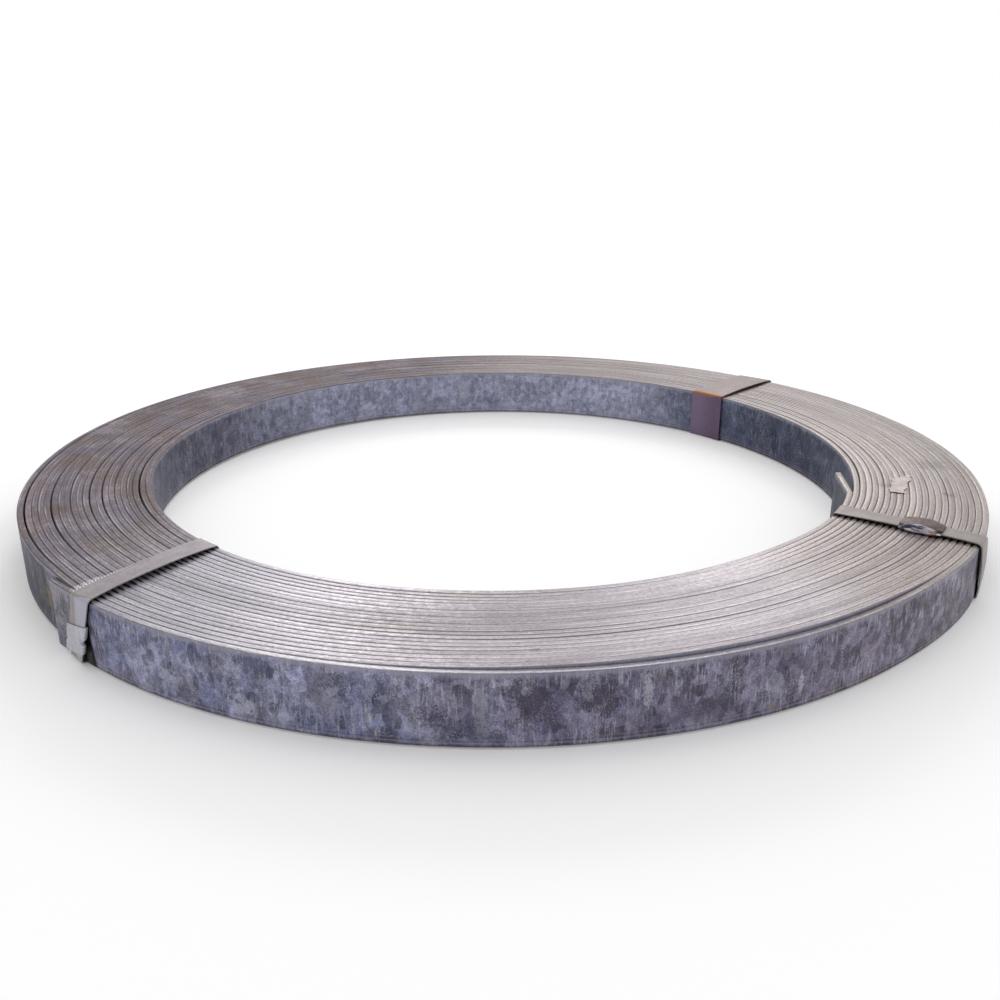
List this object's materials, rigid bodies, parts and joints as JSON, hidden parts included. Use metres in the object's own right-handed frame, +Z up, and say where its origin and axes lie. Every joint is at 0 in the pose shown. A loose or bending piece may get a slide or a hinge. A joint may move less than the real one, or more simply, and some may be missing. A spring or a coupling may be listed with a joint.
{
  "type": "coil of galvanized steel strip",
  "caption": "Flat-lying coil of hot-dip galvanized steel strip, wound edge to edge into a ring, held by steel packing straps with crimped seals.",
  "frame": {"origin": "middle of the coil at floor level, under the straps", "axes": "+Z up along the coil's axis, -Y towards the side with the outer end of the strip at its left"},
  "size_m": [0.6806, 0.6834, 0.0475],
  "materials": {
    "galvanized_strip": "hot-dip galvanized, dull zinc with spangle and pale bloom",
    "strap_steel": "plain steel band, dull",
    "wide_strap_steel": "plain steel band with a purple tint and rust at the bend",
    "seal_steel": "crimped sheet steel, dull"
  },
  "bodies": {
    "root": {"strip_coil": "galvanized_strip", "strap_left": "strap_steel", "strap_right": "strap_steel", "strap_back": "wide_strap_steel", "seal_left": "seal_steel", "seal_right": "seal_steel", "seal_back": "seal_steel"}
  },
  "joints": []
}
